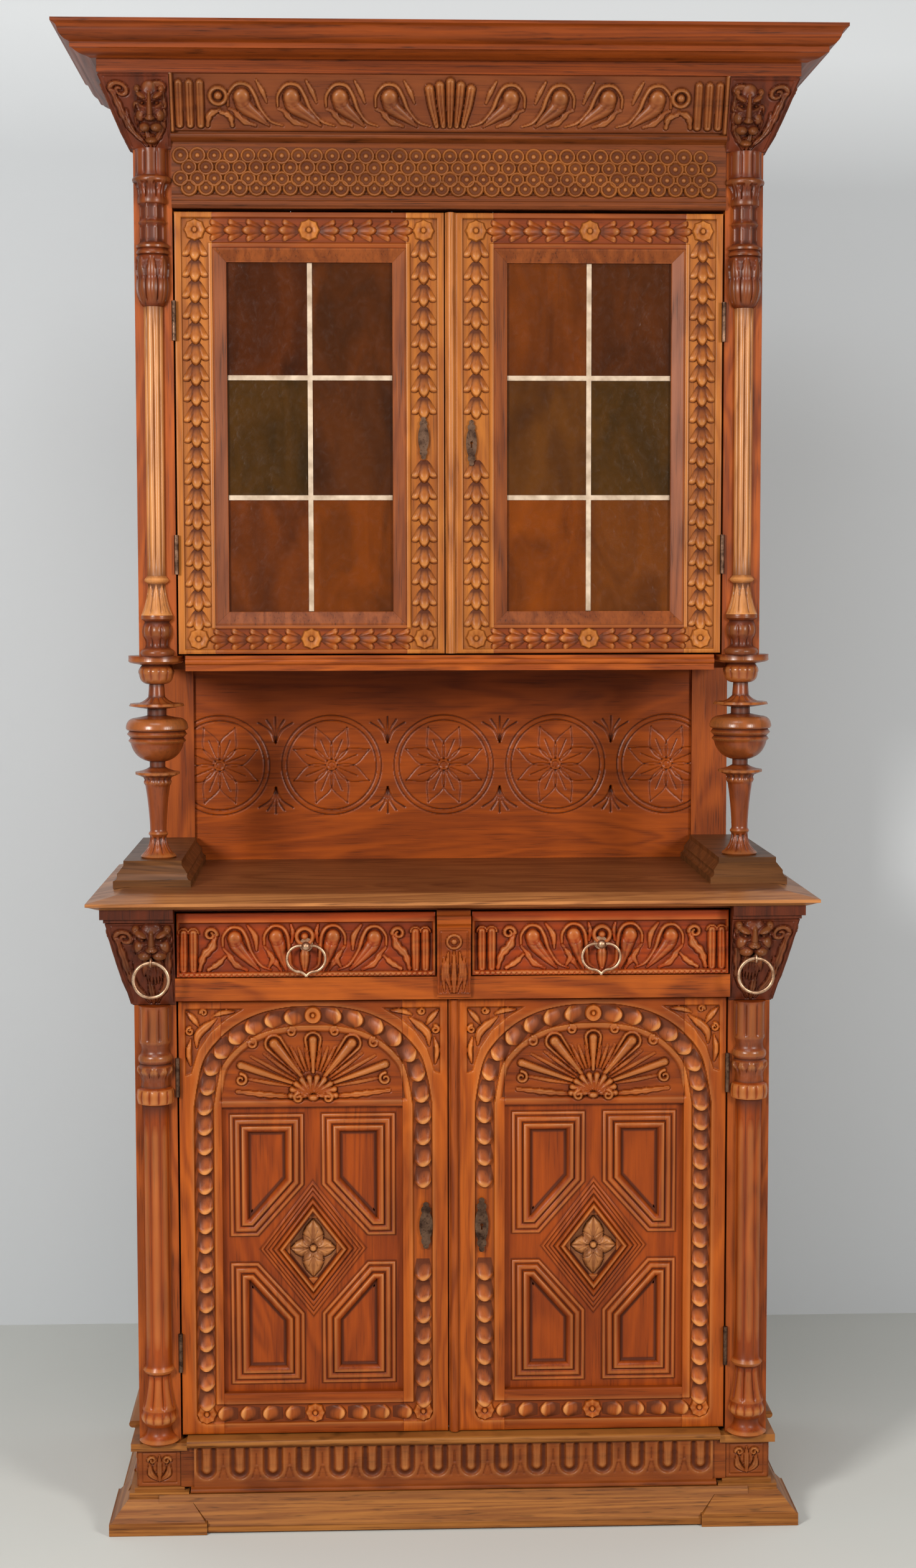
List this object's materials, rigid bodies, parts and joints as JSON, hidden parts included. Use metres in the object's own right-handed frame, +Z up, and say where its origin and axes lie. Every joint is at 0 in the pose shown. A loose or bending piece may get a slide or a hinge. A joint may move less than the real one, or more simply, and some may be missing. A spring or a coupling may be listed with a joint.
{
  "type": "court cupboard",
  "caption": "Two-stage carved court cupboard with panelled lower doors, drawers, open niche on turned balusters, glazed upper doors and a wide cornice.",
  "frame": {"origin": "centre of the bounding box on the floor", "axes": "+Z up, +X to the right as seen from the front, -Y towards the person at the front"},
  "size_m": [1.262, 0.55, 2.44],
  "materials": {
    "carved_oak": "waxed, carved",
    "dark_oak": "dark stained and waxed",
    "plain_oak": "waxed",
    "panel_oak": "waxed",
    "counter_oak": "worn wax",
    "back_oak": "unfinished",
    "brass": "lacquered",
    "aged_metal": "aged, dull",
    "lead_came": "tinned lead, dull",
    "cathedral_glass": "coloured, rippled"
  },
  "bodies": {
    "case": {"front_feet": "carved_oak", "base_boards": "carved_oak", "base_skirts": "carved_oak", "base_cap": "carved_oak", "front_posts": "dark_oak", "rear_posts": "plain_oak", "columns": "carved_oak", "side_rails": "plain_oak", "side_panels": "plain_oak", "back_boards": "back_oak", "lower_bottom": "back_oak", "shelves": "back_oak", "shelf_cleats": "back_oak", "lower_front_rails": "plain_oak", "drawer_divider": "carved_oak", "drawer_runners": "back_oak", "lower_consoles": "dark_oak", "lion_masks": "dark_oak", "ring_eyes": "brass", "counter_top": "counter_oak", "sole_rails": "plain_oak", "balusters": "carved_oak", "niche_panel": "panel_oak", "upper_bottom": "plain_oak", "scale_frieze": "carved_oak", "gadroon_frieze": "carved_oak", "upper_consoles": "dark_oak", "console_masks": "dark_oak", "cornice_frame": "plain_oak", "cornice": "plain_oak", "cornice_top": "back_oak", "case_hinges": "aged_metal"},
    "left_ring": {"left_ring": "brass"},
    "right_ring": {"right_ring": "brass"},
    "left_drawer": {"left_drawer_front": "carved_oak", "left_drawer_box": "back_oak", "left_drawer_knob": "brass"},
    "left_bail": {"left_drawer_bail": "brass"},
    "right_drawer": {"right_drawer_front": "carved_oak", "right_drawer_box": "back_oak", "right_drawer_knob": "brass"},
    "right_bail": {"right_drawer_bail": "brass"},
    "lower_left_door": {"lower_left_door_frame": "carved_oak", "lower_left_door_panel": "panel_oak", "lower_left_door_fittings": "aged_metal"},
    "lower_right_door": {"lower_right_door_frame": "carved_oak", "lower_right_door_panel": "panel_oak", "lower_right_door_fittings": "aged_metal", "lower_astragal": "carved_oak"},
    "upper_left_door": {"upper_left_door_frame": "carved_oak", "upper_left_glazing_beads": "panel_oak", "upper_left_panes": "cathedral_glass", "upper_left_cames": "lead_came", "upper_left_door_fittings": "aged_metal"},
    "upper_right_door": {"upper_right_door_frame": "carved_oak", "upper_right_glazing_beads": "panel_oak", "upper_right_panes": "cathedral_glass", "upper_right_cames": "lead_came", "upper_right_door_fittings": "aged_metal", "upper_astragal": "carved_oak"}
  },
  "joints": [
    {"name": "lower_left_door_hinge", "type": "hinge", "parent": "case", "child": "lower_left_door", "pos_m": [-0.4505, -0.2092, 0.5], "axis": [0, 0, -1], "range_deg": [0, 95]},
    {"name": "lower_right_door_hinge", "type": "hinge", "parent": "case", "child": "lower_right_door", "pos_m": [0.4505, -0.2092, 0.5], "axis": [0, 0, 1], "range_deg": [0, 95]},
    {"name": "upper_left_door_hinge", "type": "hinge", "parent": "case", "child": "upper_left_door", "pos_m": [-0.4505, -0.1092, 1.8], "axis": [0, 0, -1], "range_deg": [0, 95]},
    {"name": "upper_right_door_hinge", "type": "hinge", "parent": "case", "child": "upper_right_door", "pos_m": [0.4505, -0.1092, 1.8], "axis": [0, 0, 1], "range_deg": [0, 95]},
    {"name": "left_drawer_slide", "type": "slide", "parent": "case", "child": "left_drawer", "axis": [0, -1, 0], "range_m": [0, 0.3]},
    {"name": "right_drawer_slide", "type": "slide", "parent": "case", "child": "right_drawer", "axis": [0, -1, 0], "range_m": [0, 0.3]},
    {"name": "left_bail_swing", "type": "hinge", "parent": "left_drawer", "child": "left_bail", "pos_m": [-0.2395, -0.233, 0.971], "axis": [-1, 0, 0], "range_deg": [0, 100]},
    {"name": "right_bail_swing", "type": "hinge", "parent": "right_drawer", "child": "right_bail", "pos_m": [0.2395, -0.233, 0.971], "axis": [-1, 0, 0], "range_deg": [0, 100]},
    {"name": "left_ring_swing", "type": "hinge", "parent": "case", "child": "left_ring", "pos_m": [-0.487, -0.266, 0.95], "axis": [-1, 0, 0], "range_deg": [-15, 105]},
    {"name": "right_ring_swing", "type": "hinge", "parent": "case", "child": "right_ring", "pos_m": [0.487, -0.266, 0.95], "axis": [-1, 0, 0], "range_deg": [-15, 105]}
  ]
}
